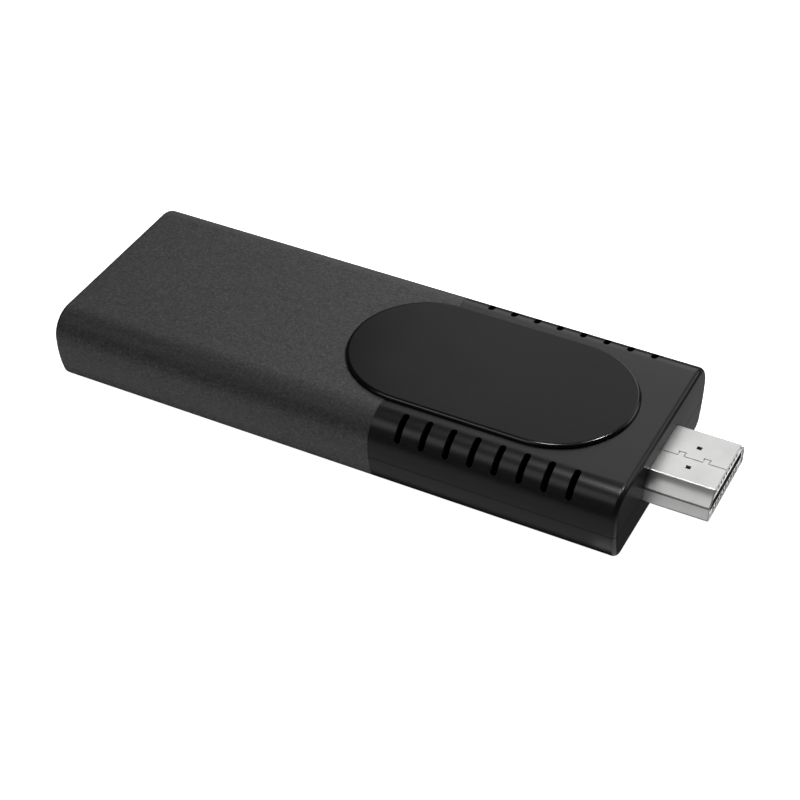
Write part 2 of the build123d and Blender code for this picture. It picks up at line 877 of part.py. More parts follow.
# Screws: sunk pan heads on the heat sink, shanks through the board into the bosses
with BuildPart() as board_screws:
    with Locations([(x, y, screw_seat_z) for x, y in screw_places]):
        Cylinder(screw_shank / 2, screw_length, align=hanging)
        Cylinder(screw_head / 2, screw_head_height, align=resting)
    chamfer(board_screws.edges().group_by(Axis.Z)[0], screw_tip)
    fillet(board_screws.edges().group_by(Axis.Z)[-1], screw_tip)
board_screws.part.label = "board_screws"
export_step(board_screws.part, "parts/board_screws.step")


# Radio: a small board with its own can
with BuildPart() as radio_board:
    with Locations((radio_x, 0, board_top_z)):
        Box(radio_board_length, radio_board_width, radio_board_height, align=resting)
radio_board.part.label = "radio_board"
export_step(radio_board.part, "parts/radio_board.step")

with BuildPart() as radio_can:
    can_length = radio_board_length - 2 * radio_can_margin
    can_width = radio_board_width - 2 * radio_can_margin
    with Locations((radio_x, 0, board_top_z + radio_board_height)):
        Box(can_length, can_width, radio_can_height, align=resting)
        Box(
            can_length - 2 * radio_can_wall,
            can_width - 2 * radio_can_wall,
            radio_can_height - radio_can_wall,
            align=resting,
            mode=Mode.SUBTRACT,
        )
radio_can.part.label = "radio_can"
export_step(radio_can.part, "parts/radio_can.step")


# Antennas: stamped strips that stand on two legs along each side of the board
antenna_outer_y = board_width / 2 - antenna_edge_gap
for antenna_name, side in (("antenna_left", 1), ("antenna_right", -1)):
    with BuildPart() as antenna:
        strip_z = board_top_z + antenna_height
        leg_shift = (antenna_length - antenna_leg) / 2
        strip_y = side * (antenna_outer_y - antenna_thickness / 2)
        with Locations((antenna_x, strip_y, strip_z)):
            Box(antenna_length, antenna_thickness, antenna_band, align=hanging)
        with Locations((antenna_x - leg_shift, strip_y, strip_z), (antenna_x, strip_y, strip_z)):
            Box(antenna_leg, antenna_thickness, antenna_height, align=hanging)
        with Locations((antenna_x, side * (antenna_outer_y - antenna_fold / 2), strip_z)):
            Box(antenna_length, antenna_fold, antenna_thickness, align=hanging)
    antenna.part.label = antenna_name
    export_step(antenna.part, f"parts/{antenna_name}.step")


# Inductors and capacitors of the power supply, each a group of like bodies
with BuildPart() as inductors:
    with BuildSketch(Plane.XY.offset(board_top_z)):
        with Locations(inductor_places):
            RectangleRounded(inductor_size[0], inductor_size[1], least_round)
    extrude(amount=inductor_size[2])
    chamfer(inductors.edges().group_by(Axis.Z)[-1], chip_edge)
inductors.part.label = "inductors"
export_step(inductors.part, "parts/inductors.step")

with BuildPart() as capacitors:
    with Locations([(x, y, board_top_z) for x, y in capacitor_places]):
        Box(*capacitor_size, align=resting)
    chamfer(capacitors.edges().group_by(Axis.Z)[-1], chip_edge)
capacitors.part.label = "capacitors"
export_step(capacitors.part, "parts/capacitors.step")


# Power socket: an oval shell sunk in the board's notch, resting on four wings
socket_inner_width = socket_width - 2 * socket_wall
socket_inner_height = socket_height - 2 * socket_wall
with BuildPart() as power_socket_shell:
    extrude(slot_outline(socket_mouth_x, socket_width, socket_height), amount=socket_length)
    wing_places = []
    for step in (0, 1):
        wing_places.append((board_rear_x + wing_length + step * wing_spread, 0, board_top_z))
    with Locations(wing_places):
        Box(wing_length, socket_width + 2 * wing_reach, wing_thickness, align=resting)
    extrude(
        slot_outline(socket_mouth_x, socket_inner_width, socket_inner_height),
        amount=socket_length,
        mode=Mode.SUBTRACT,
    )
power_socket_shell.part.label = "power_socket_shell"
export_step(power_socket_shell.part, "parts/power_socket_shell.step")

with BuildPart() as power_socket_tongue:
    core_x = socket_front_x - socket_core_length
    extrude(
        slot_outline(
            core_x,
            socket_inner_width - 2 * socket_core_gap,
            socket_inner_height - 2 * socket_core_gap,
        ),
        amount=socket_core_length,
    )
    tongue_x = socket_mouth_x + tongue_setback
    with Locations((tongue_x, 0, board_middle_z)):
        Box(
            core_x - tongue_x,
            tongue_width,
            tongue_thickness,
            align=(Align.MIN, Align.CENTER, Align.CENTER),
        )
power_socket_tongue.part.label = "power_socket_tongue"
export_step(power_socket_tongue.part, "parts/power_socket_tongue.step")

with BuildPart() as power_socket_contacts:
    strip_x = tongue_x + socket_contact_setback + socket_contact_length / 2
    strip_lift = (tongue_thickness + socket_contact_thickness) / 2
    for lift in (strip_lift, -strip_lift):
        with Locations((strip_x, 0, board_middle_z + lift)):
            with GridLocations(0, socket_contact_pitch, 1, socket_contact_count):
                Box(socket_contact_length, socket_contact_width, socket_contact_thickness)
power_socket_contacts.part.label = "power_socket_contacts"
export_step(power_socket_contacts.part, "parts/power_socket_contacts.step")


# Reset button: a round cap in the rear wall, with a flange that keeps it from falling out
flange_x = rear_inner_x + flange_gap
cap_x = rear_x + button_recess
with BuildPart() as reset_button:
    extrude(disc(cap_x, button_y, button_z, button_diameter), amount=flange_x - cap_x)
    fillet(reset_button.edges().sort_by(Axis.X)[0], button_edge)
    extrude(disc(flange_x, button_y, button_z, flange_diameter), amount=flange_thickness)
reset_button.part.label = "reset_button"
export_step(reset_button.part, "parts/reset_button.step")

# Switch plunger: reaches from the cap's flange into the switch, and moves with the cap
plunger_x = flange_x + flange_thickness
switch_x = plunger_x + plunger_reach
with BuildPart() as switch_plunger:
    extrude(
        disc(plunger_x, button_y, button_z, plunger_diameter),
        amount=plunger_reach + plunger_grip,
    )
switch_plunger.part.label = "switch_plunger"
export_step(switch_plunger.part, "parts/switch_plunger.step")

# Switch: its bore leaves the plunger room for the whole travel
with BuildPart() as reset_switch:
    with Locations((switch_x, button_y, board_top_z)):
        Box(switch_length, switch_width, switch_height, align=(Align.MIN, Align.CENTER, Align.MIN))
    extrude(
        disc(switch_x, button_y, button_z, plunger_diameter + 2 * plunger_gap),
        amount=plunger_grip + button_travel + button_gap,
        mode=Mode.SUBTRACT,
    )
reset_switch.part.label = "reset_switch"
export_step(reset_switch.part, "parts/reset_switch.step")


# Indicator: a lamp at the board's rear edge and the clear pipe that carries its light outside
led_x = board_rear_x
with BuildPart() as light_pipe:
    pipe_x = rear_x + pipe_setback
    extrude(disc(pipe_x, pipe_y, button_z, pipe_diameter), amount=led_x - pipe_x)
    extrude(disc(rear_inner_x, pipe_y, button_z, pipe_flange), amount=pipe_flange_length)
light_pipe.part.label = "light_pipe"
export_step(light_pipe.part, "parts/light_pipe.step")

with BuildPart() as status_led:
    with Locations((led_x, pipe_y, board_top_z)):
        Box(led_length, led_width, led_height, align=(Align.MIN, Align.CENTER, Align.MIN))
    chamfer(status_led.edges().group_by(Axis.Z)[-1], chip_edge)
status_led.part.label = "status_led"
export_step(status_led.part, "parts/status_led.step")
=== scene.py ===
import json
import math
import bpy
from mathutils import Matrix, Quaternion, Vector

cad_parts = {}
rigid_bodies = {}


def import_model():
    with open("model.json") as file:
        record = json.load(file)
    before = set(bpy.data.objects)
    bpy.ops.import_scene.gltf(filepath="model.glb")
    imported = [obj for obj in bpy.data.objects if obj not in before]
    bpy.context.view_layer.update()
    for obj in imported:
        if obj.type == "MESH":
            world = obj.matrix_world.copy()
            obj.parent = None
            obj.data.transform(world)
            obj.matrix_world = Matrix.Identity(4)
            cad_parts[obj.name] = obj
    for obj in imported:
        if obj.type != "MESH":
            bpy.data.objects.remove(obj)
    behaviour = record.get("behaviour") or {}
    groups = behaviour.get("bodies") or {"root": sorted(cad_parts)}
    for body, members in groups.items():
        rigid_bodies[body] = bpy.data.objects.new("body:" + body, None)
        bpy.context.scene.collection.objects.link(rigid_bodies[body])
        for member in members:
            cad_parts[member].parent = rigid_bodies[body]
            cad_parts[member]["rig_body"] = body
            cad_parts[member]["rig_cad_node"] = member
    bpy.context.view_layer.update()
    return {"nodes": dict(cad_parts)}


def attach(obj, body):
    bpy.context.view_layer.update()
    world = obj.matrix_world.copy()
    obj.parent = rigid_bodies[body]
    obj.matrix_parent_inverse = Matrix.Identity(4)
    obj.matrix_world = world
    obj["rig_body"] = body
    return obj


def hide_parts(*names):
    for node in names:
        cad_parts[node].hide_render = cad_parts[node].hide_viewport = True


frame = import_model()
nodes = frame["nodes"]
bpy.ops.object.select_all(action="DESELECT")
print("frame loaded:", len(nodes), "nodes")


def linearColour(hexCode):
    channels = [int(hexCode[start:start + 2], 16) / 255 for start in (1, 3, 5)]
    return [c / 12.92 if c <= 0.04045 else ((c + 0.055) / 1.055) ** 2.4 for c in channels] + [1.0]


# Scale, per metre, of a texture whose features are this many millimetres
def perMm(size):
    return 1000.0 / size


noiseSpan = {"From Min": 0.3, "From Max": 0.7}  # where most values of a noise texture lie
reliefPerMm = {"grain": 0.0001, "streak": 0.00004}  # metres of relief for a millimetre of grain
waveStretch = 6.3  # how much finer a wave texture is than a noise texture of the same scale


def addNode(tree, kind, settings={}, links={}):
    node = tree.nodes.new(kind)
    for key, value in settings.items():
        if isinstance(key, str) and hasattr(node, key):
            setattr(node, key, value)
        else:
            node.inputs[key].default_value = value
    for key, source in links.items():
        tree.links.new(source, node.inputs[key])
    return node


def newSurface(name, settings):
    material = bpy.data.materials.new(name)
    material.use_nodes = True
    tree = material.node_tree
    tree.nodes.clear()
    shader = addNode(tree, "ShaderNodeBsdfPrincipled", settings)
    addNode(tree, "ShaderNodeOutputMaterial", links={"Surface": shader.outputs["BSDF"]})
    place = addNode(tree, "ShaderNodeTexCoord")
    return material, tree, shader, place.outputs["Object"]


# Injection-moulded plastic: the tool's eroded grain breaks up the gloss, which also drifts slowly
def mouldedPlastic(name, look):
    material, tree, shader, place = newSurface(name, {
        "IOR": look.get("ior", 1.5),
        "Specular IOR Level": look.get("specular", 0.5),
    })
    grain = addNode(tree, "ShaderNodeTexNoise", {
        "Scale": perMm(look["grain"]), "Detail": 3.0, "Roughness": 0.6,
    }, {"Vector": place})
    drift = addNode(tree, "ShaderNodeTexNoise", {
        "Scale": perMm(look["drift"]), "Detail": 2.0,
    }, {"Vector": place})
    share = addNode(tree, "ShaderNodeMapRange", noiseSpan, {"Value": grain.outputs["Fac"]})
    colour = addNode(tree, "ShaderNodeMix", {
        "data_type": "RGBA", 6: linearColour(look["dark"]), 7: linearColour(look["light"]),
    }, {0: share.outputs["Result"]})
    colourOut = colour.outputs[2]
    if "speck" in look:
        cells = addNode(tree, "ShaderNodeTexVoronoi", {
            "Scale": perMm(look["speckPitch"]), "Randomness": 1.0,
        }, {"Vector": place})
        fleck = addNode(tree, "ShaderNodeMapRange", {
            "From Min": look["speckEdge"][0], "From Max": look["speckEdge"][1],
            "To Max": look["speckShare"],
        }, {"Value": cells.outputs["Distance"]})
        flecked = addNode(tree, "ShaderNodeMix", {
            "data_type": "RGBA", 7: linearColour(look["speck"]),
        }, {0: fleck.outputs["Result"], 6: colourOut})
        colourOut = flecked.outputs[2]
    rough = addNode(tree, "ShaderNodeMapRange", {
        **noiseSpan, "To Min": look["roughness"][0], "To Max": look["roughness"][1],
    }, {"Value": drift.outputs["Fac"]})
    bump = addNode(tree, "ShaderNodeBump", {
        "Strength": look["bump"], "Distance": look["grain"] * reliefPerMm["grain"],
    }, {"Height": grain.outputs["Fac"]})
    # painted shade: faces that look along X get a lower mirror strength, so the end wall reads
    # darker
    if "endShadeSpecular" in look:  # a face that looks along X mirrors less than the others
        facing = addNode(tree, "ShaderNodeNewGeometry")
        along = addNode(tree, "ShaderNodeSeparateXYZ", links={"Vector": facing.outputs["Normal"]})
        gloss = addNode(tree, "ShaderNodeMapRange", {
            "From Min": look["endFacing"][0], "From Max": look["endFacing"][1],
            "To Min": look["specular"], "To Max": look["endShadeSpecular"],
        }, {"Value": along.outputs["X"]})
        tree.links.new(gloss.outputs["Result"], shader.inputs["Specular IOR Level"])
    tree.links.new(colourOut, shader.inputs["Base Color"])
    tree.links.new(rough.outputs["Result"], shader.inputs["Roughness"])
    tree.links.new(bump.outputs["Normal"], shader.inputs["Normal"])
    return material


# Rolled, brushed or plated metal: hair-fine streaks along one direction over a slow stain
def streakedMetal(name, look):
    material, tree, shader, place = newSurface(name, {"Metallic": 1.0})
    stretch = addNode(tree, "ShaderNodeMapping", {"Scale": look["stretch"]}, {"Vector": place})
    streak = addNode(tree, "ShaderNodeTexNoise", {
        "Scale": perMm(look["streak"]), "Detail": 4.0, "Roughness": 0.65,
    }, {"Vector": stretch.outputs["Vector"]})
    stain = addNode(tree, "ShaderNodeTexNoise", {
        "Scale": perMm(look["stain"]), "Detail": 2.0,
    }, {"Vector": place})
    share = addNode(tree, "ShaderNodeMapRange", noiseSpan, {"Value": stain.outputs["Fac"]})
    colour = addNode(tree, "ShaderNodeMix", {
        "data_type": "RGBA", 6: linearColour(look["dark"]), 7: linearColour(look["light"]),
    }, {0: share.outputs["Result"]})
    rough = addNode(tree, "ShaderNodeMapRange", {
        **noiseSpan, "To Min": look["roughness"][0], "To Max": look["roughness"][1],
    }, {"Value": streak.outputs["Fac"]})
    bump = addNode(tree, "ShaderNodeBump", {
        "Strength": look["bump"], "Distance": look["streak"] * reliefPerMm["streak"],
    }, {"Height": streak.outputs["Fac"]})
    tree.links.new(colour.outputs[2], shader.inputs["Base Color"])
    tree.links.new(rough.outputs["Result"], shader.inputs["Roughness"])
    tree.links.new(bump.outputs["Normal"], shader.inputs["Normal"])
    return material


# ABS with mineral flecks, moulded against an eroded tool: matt, and grainy up close
speckledAbs = mouldedPlastic("speckledAbs", {
    "dark": "#292929", "light": "#464647", "grain": 0.34, "drift": 14.0,
    "roughness": (0.46, 0.54), "bump": 0.35, "specular": 0.36,
    "speck": "#5e5e60", "speckPitch": 0.6, "speckEdge": (0.32, 0.12), "speckShare": 0.4,
})
# Black ABS from a finer tool: satin, with a soft mirror of the studio; its end wall mirrors less,
# which paints shade on it
satinAbs = mouldedPlastic("satinAbs", {
    "dark": "#101011", "light": "#151516", "grain": 0.18, "drift": 16.0,
    "roughness": (0.27, 0.33), "bump": 0.16, "specular": 0.34,
    "endShadeSpecular": 0.07, "endFacing": (0.85, 0.98),
})
# Black polycarbonate with a thin haze coat: smooth, but it mirrors little
hazedPolycarbonate = mouldedPlastic("hazedPolycarbonate", {
    "dark": "#0c0c0d", "light": "#101012", "grain": 0.25, "drift": 12.0,
    "roughness": (0.17, 0.23), "bump": 0.06, "specular": 0.11, "ior": 1.58,
})
# The same polycarbonate left bare and polished round the rim
polishedRim = mouldedPlastic("polishedRim", {
    "dark": "#0c0c0d", "light": "#101012", "grain": 0.25, "drift": 12.0,
    "roughness": (0.15, 0.2), "bump": 0.04, "specular": 0.4, "ior": 1.58,
})
# Acrylic tape: tacky grey edge, only seen in the gap round the plate
acrylicTape = mouldedPlastic("acrylicTape", {
    "dark": "#202022", "light": "#2b2b2e", "grain": 0.3, "drift": 5.0,
    "roughness": (0.55, 0.7), "bump": 0.4,
})
# Nickel-plated steel sheet, brushed along the plug before it was folded
nickelSteel = streakedMetal("nickelSteel", {
    "dark": "#cdcdcc", "light": "#d8d8d7", "stretch": (0.02, 1.0, 1.0), "streak": 0.2,
    "stain": 5.0, "roughness": (0.34, 0.42), "bump": 0.12,
})
# Liquid-crystal polymer of connectors: dull black with short flow marks
connectorPolymer = mouldedPlastic("connectorPolymer", {
    "dark": "#0b0b0c", "light": "#141415", "grain": 0.12, "drift": 3.0,
    "roughness": (0.4, 0.55), "bump": 0.3,
})
# The same polymer in its pale grade, which shows up the contact windows of the plug
palePolymer = mouldedPlastic("palePolymer", {
    "dark": "#d9d9d7", "light": "#e6e6e4", "grain": 0.12, "drift": 3.0,
    "roughness": (0.4, 0.5), "bump": 0.2,
})
# Gold flash on copper alloy: warm, smooth, with rolling marks along each contact
goldFlash = streakedMetal("goldFlash", {
    "dark": "#c99a3f", "light": "#e2b75a", "stretch": (0.05, 1.0, 1.0), "streak": 0.08,
    "stain": 1.5, "roughness": (0.18, 0.3), "bump": 0.3,
})
# Epoxy moulding compound of chips: charcoal, with a fine sanded grain
epoxyResin = mouldedPlastic("epoxyResin", {
    "dark": "#1a1a1b", "light": "#262628", "grain": 0.1, "drift": 4.0,
    "roughness": (0.5, 0.62), "bump": 0.5,
})
# Tin-plated steel of shields: bright but cloudy
tinplate = streakedMetal("tinplate", {
    "dark": "#a9abac", "light": "#c2c4c4", "stretch": (1.0, 0.04, 1.0), "streak": 0.2,
    "stain": 4.0, "roughness": (0.3, 0.42), "bump": 0.3,
})
# Silicone pad filled with ceramic powder: soft blue-grey, dull
filledSilicone = mouldedPlastic("filledSilicone", {
    "dark": "#7c8a94", "light": "#91a0a9", "grain": 0.15, "drift": 3.0,
    "roughness": (0.7, 0.85), "bump": 0.5, "ior": 1.41,
})
# Extruded aluminium, anodised black so that it also radiates: near black, silky
blackAnodised = streakedMetal("blackAnodised", {
    "dark": "#070707", "light": "#0b0b0c", "stretch": (1.0, 0.03, 1.0), "streak": 0.1,
    "stain": 5.0, "roughness": (0.42, 0.55), "bump": 0.4,
})
# Bare rolled aluminium sheet
rolledAluminium = streakedMetal("rolledAluminium", {
    "dark": "#c4c6c7", "light": "#d6d7d8", "stretch": (0.03, 1.0, 1.0), "streak": 0.15,
    "stain": 6.0, "roughness": (0.28, 0.4), "bump": 0.4,
})
# Machine screws, black zinc over steel
blackZinc = streakedMetal("blackZinc", {
    "dark": "#2a2a2b", "light": "#38383a", "stretch": (1.0, 1.0, 0.2), "streak": 0.1,
    "stain": 1.0, "roughness": (0.3, 0.4), "bump": 0.4,
})
# Stamped brass of the antennas
stampedBrass = streakedMetal("stampedBrass", {
    "dark": "#b08d45", "light": "#c9a75c", "stretch": (0.04, 1.0, 1.0), "streak": 0.12,
    "stain": 3.0, "roughness": (0.26, 0.38), "bump": 0.4,
})
# Pressed ferrite of the inductors: slate grey, chalky
pressedFerrite = mouldedPlastic("pressedFerrite", {
    "dark": "#2c2d30", "light": "#3a3b3e", "grain": 0.12, "drift": 1.5,
    "roughness": (0.6, 0.75), "bump": 0.6,
})
# Barium titanate ceramic of the capacitors: tan and faintly glossy
capacitorCeramic = mouldedPlastic("capacitorCeramic", {
    "dark": "#8a6c50", "light": "#9d7e60", "grain": 0.1, "drift": 1.5,
    "roughness": (0.35, 0.5), "bump": 0.3, "ior": 1.7,
})
# Seam-welded nickel can of the crystal
nickelCan = streakedMetal("nickelCan", {
    "dark": "#b9b7b0", "light": "#cccac3", "stretch": (1.0, 0.1, 1.0), "streak": 0.1,
    "stain": 1.5, "roughness": (0.22, 0.32), "bump": 0.3,
})
# Polycarbonate of the cap in the rear wall: a little smoother than the sleeve round it
capPolycarbonate = mouldedPlastic("capPolycarbonate", {
    "dark": "#1d1d1f", "light": "#262628", "grain": 0.16, "drift": 2.0,
    "roughness": (0.32, 0.4), "bump": 0.25,
})
# Glass-filled nylon of the switch and its plunger
filledNylon = mouldedPlastic("filledNylon", {
    "dark": "#c9c4b4", "light": "#dad6c8", "grain": 0.1, "drift": 1.5,
    "roughness": (0.5, 0.62), "bump": 0.4,
})
# Milky epoxy over the lamp, yellowed by its phosphor
phosphorEpoxy = mouldedPlastic("phosphorEpoxy", {
    "dark": "#d9cf8e", "light": "#eee6ad", "grain": 0.08, "drift": 0.8,
    "roughness": (0.2, 0.3), "bump": 0.15,
})


# Glass-fibre laminate under a black solder mask: the weave and the tracks show through as relief
def maskedLaminate(name, look):
    material, tree, shader, place = newSurface(name, {"IOR": 1.52})
    weave = addNode(tree, "ShaderNodeTexWave", {
        "Scale": perMm(look["weave"]) / waveStretch, "Distortion": 0.4, "Detail": 1.0,
    }, {"Vector": place})
    tracks = addNode(tree, "ShaderNodeTexBrick", {
        "Scale": perMm(look["track"]), "Mortar Size": look["trackGap"], "Mortar Smooth": 0.2,
        "Color1": (1.0, 1.0, 1.0, 1.0), "Color2": (0.75, 0.75, 0.75, 1.0),
        "Mortar": (0.0, 0.0, 0.0, 1.0),
    }, {"Vector": place})
    colour = addNode(tree, "ShaderNodeMix", {
        "data_type": "RGBA", 6: linearColour(look["dark"]), 7: linearColour(look["light"]),
    }, {0: tracks.outputs["Color"]})
    rough = addNode(tree, "ShaderNodeMapRange", {
        "To Min": look["roughness"][0], "To Max": look["roughness"][1],
    }, {"Value": weave.outputs["Fac"]})
    relief = addNode(tree, "ShaderNodeBump", {
        "Strength": look["bump"], "Distance": look["relief"],
    }, {"Height": tracks.outputs["Color"]})
    tree.links.new(colour.outputs[2], shader.inputs["Base Color"])
    tree.links.new(rough.outputs["Result"], shader.inputs["Roughness"])
    tree.links.new(relief.outputs["Normal"], shader.inputs["Normal"])
    return material


blackMask = maskedLaminate("blackMask", {
    "dark": "#0d100f", "light": "#171c1a", "weave": 0.5, "track": 1.6, "trackGap": 0.08,
    "roughness": (0.24, 0.36), "bump": 0.4, "relief": 0.00003,
})


# Cast acrylic of the light pipe: clear inside, frosted a little unevenly where it was cut
def castAcrylic(name, look):
    material, tree, shader, place = newSurface(name, {
        "IOR": 1.49, "Transmission Weight": 0.9, "Base Color": linearColour(look["tint"]),
    })
    haze = addNode(tree, "ShaderNodeTexNoise", {
        "Scale": perMm(look["haze"]), "Detail": 2.0,
    }, {"Vector": place})
    rough = addNode(tree, "ShaderNodeMapRange", {
        **noiseSpan, "To Min": look["roughness"][0], "To Max": look["roughness"][1],
    }, {"Value": haze.outputs["Fac"]})
    tree.links.new(rough.outputs["Result"], shader.inputs["Roughness"])
    return material


clearAcrylic = castAcrylic("clearAcrylic", {
    "tint": "#eef1f0", "haze": 2.5, "roughness": (0.3, 0.4),
})

nodeFinishes = {
    "rear_sleeve": speckledAbs,
    "upper_cover": satinAbs,
    "lower_cover": satinAbs,
    "top_plate": hazedPolycarbonate,
    "plate_adhesive": acrylicTape,
    "mainboard": blackMask,
    "radio_board": blackMask,
    "hdmi_shell": nickelSteel,
    "power_socket_shell": nickelSteel,
    "hdmi_insulator": palePolymer,
    "power_socket_tongue": connectorPolymer,
    "hdmi_contacts_upper": goldFlash,
    "hdmi_contacts_lower": goldFlash,
    "power_socket_contacts": goldFlash,
    "processor": epoxyResin,
    "memory_chip_left": epoxyResin,
    "memory_chip_right": epoxyResin,
    "flash_chip": epoxyResin,
    "power_chip": epoxyResin,
    "crystal": nickelCan,
    "processor_pad": filledSilicone,
    "heat_sink_pad": filledSilicone,
    "flash_pad": filledSilicone,
    "spreader_pad": filledSilicone,
    "shield_frame": tinplate,
    "shield_lid": tinplate,
    "lower_shield": tinplate,
    "radio_can": tinplate,
    "heat_sink": blackAnodised,
    "heat_spreader": rolledAluminium,
    "board_screws": blackZinc,
    "antenna_left": stampedBrass,
    "antenna_right": stampedBrass,
    "inductors": pressedFerrite,
    "capacitors": capacitorCeramic,
    "reset_button": capPolycarbonate,
    "switch_plunger": filledNylon,
    "reset_switch": filledNylon,
    "light_pipe": clearAcrylic,
    "status_led": phosphorEpoxy,
}
for nodeName, finish in nodeFinishes.items():
    nodes[nodeName].material_slots[0].material = finish
print("finishes given:", len(nodeFinishes))


# A copy of a node that can carry more than the node does: a second material, or normals of its own
def copyOfNode(nodeName, pieceName):
    bpy.ops.object.select_all(action="DESELECT")
    nodes[nodeName].select_set(True)
    bpy.context.view_layer.objects.active = nodes[nodeName]
    bpy.ops.object.duplicate()
    piece = bpy.context.object
    piece.name = pieceName
    bpy.ops.object.parent_clear(type="CLEAR_KEEP_TRANSFORM")
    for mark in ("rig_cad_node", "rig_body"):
        if mark in piece:
            del piece[mark]
    return piece


secondMaterial = 1  # slot of what a copy wears beside its node's own finish

# Plug core: the pale grade on its front face; the mouth and the contact windows wear the black
# grade as painted shade in these recesses
plugCoreLook = {"frontSlack": 0.00003}
plugCorePiece = copyOfNode("hdmi_insulator", "plugCorePiece")
coreMesh = plugCorePiece.data
coreMesh.materials.append(connectorPolymer)
coreFront = max(vertex.co.x for vertex in coreMesh.vertices)
paintedShadeFaces = 0
for face in coreMesh.polygons:
    if face.center.x < coreFront - plugCoreLook["frontSlack"]:
        face.material_index = secondMaterial
        paintedShadeFaces += 1
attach(plugCorePiece, "stick")
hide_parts("hdmi_insulator")
print("plug core coloured, dark faces:", paintedShadeFaces)

# Oval plate: its flat top is faintly hazed, its rim is polished and shaded as a true round
topPlateLook = {"round": 0.0005, "topSlack": 0.00001, "underside": -0.5}
topPlatePiece = copyOfNode("top_plate", "topPlatePiece")
plateMesh = topPlatePiece.data
plateMesh.materials.append(polishedRim)
plateTop = max(vertex.co.z for vertex in plateMesh.vertices)
plateFront = max(vertex.co.x for vertex in plateMesh.vertices)
plateRear = min(vertex.co.x for vertex in plateMesh.vertices)
plateSide = max(vertex.co.y for vertex in plateMesh.vertices)
plateMiddle = (plateFront + plateRear) / 2
straightHalf = (plateFront - plateRear) / 2 - plateSide
plateNormals = [corner.vector.copy() for corner in plateMesh.corner_normals]
rimFaces = 0
for face in plateMesh.polygons:
    isTop = face.center.z > plateTop - topPlateLook["topSlack"]
    if isTop or face.normal.z < topPlateLook["underside"]:
        continue
    face.material_index = secondMaterial
    rimFaces += 1
    for loopIndex, vertexIndex in zip(face.loop_indices, face.vertices):
        corner = plateMesh.vertices[vertexIndex].co
        along = corner.x - plateMiddle
        pastStraight = math.copysign(max(abs(along) - straightHalf, 0.0), along)
        outwards = Vector((pastStraight, corner.y, 0.0)).normalized()
        climb = 1.0 - (plateTop - corner.z) / topPlateLook["round"]
        climb = min(max(climb, 0.0), 1.0)
        upwards = Vector((0.0, 0.0, climb))
        plateNormals[loopIndex] = outwards * math.sqrt(1.0 - climb * climb) + upwards
plateMesh.normals_split_custom_set(plateNormals)
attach(topPlatePiece, "stick")
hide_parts("top_plate")
print("oval plate coloured, rim faces:", rimFaces)

# Upper cover: the solid's own skin, with the shoulders shaded as true rounds between the vents
upperCoverLook = {"halfWidth": 0.01675, "height": 0.0114, "round": 0.00395, "frontX": 0.0382,
                  "slack": 0.00002, "sameWay": 0.8}
upperCoverPiece = copyOfNode("upper_cover", "upperCoverPiece")
coverMesh = upperCoverPiece.data
cornerNormals = [corner.vector.copy() for corner in coverMesh.corner_normals]
shoulderCorners = 0
for face in coverMesh.polygons:
    corners = [coverMesh.vertices[index].co for index in face.vertices]
    arms = []
    for corner in corners:
        reach = abs(corner.y) - upperCoverLook["halfWidth"] + upperCoverLook["round"]
        rise = corner.z - upperCoverLook["height"] + upperCoverLook["round"]
        arms.append(Vector((0.0, math.copysign(reach, corner.y), rise)))
    offRound = max(abs(arm.length - upperCoverLook["round"]) for arm in arms)
    middle = sum(arms, Vector()).normalized()
    isVentWall = face.normal.dot(middle) < upperCoverLook["sameWay"]
    isFront = max(corner.x for corner in corners) > upperCoverLook["frontX"]
    if offRound > upperCoverLook["slack"] or isVentWall or isFront:
        continue
    for loopIndex, arm in zip(face.loop_indices, arms):
        cornerNormals[loopIndex] = arm.normalized()
        shoulderCorners += 1
coverMesh.normals_split_custom_set(cornerNormals)
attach(upperCoverPiece, "stick")
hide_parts("upper_cover")
print("upper cover shaded, corners:", shoulderCorners)

# Stage: a pale lit table with painted-reflection cards under it, a room that is dim above, and
# seven lamps
floorLook = {"size": 12.0, "drop": 0.00005, "colour": "#f4f4f4", "cloud": 3.0, "glow": 1.0}
bpy.ops.mesh.primitive_plane_add(size=floorLook["size"], location=(0, 0, -floorLook["drop"]))
studioFloor = bpy.context.object
studioFloor.name = "studioFloor"
# Back-lit acrylic light table: even white with a faint unevenness
tableAcrylic, floorTree, floorShader, floorPlace = newSurface("tableAcrylic", {
    "Roughness": 0.8, "Specular IOR Level": 0.2,
    "Emission Color": linearColour("#ffffff"), "Emission Strength": floorLook["glow"],
})
floorCloud = addNode(floorTree, "ShaderNodeTexNoise", {
    "Scale": floorLook["cloud"],
}, {"Vector": floorPlace})
floorTone = addNode(floorTree, "ShaderNodeMix", {
    "data_type": "RGBA", 6: linearColour(floorLook["colour"]), 7: linearColour("#ffffff"),
}, {0: floorCloud.outputs["Fac"]})
floorTree.links.new(floorTone.outputs[2], floorShader.inputs["Base Color"])
studioFloor.data.materials.append(tableAcrylic)
studioFloor.visible_glossy = False  # the sides mirror the dim room, not the table
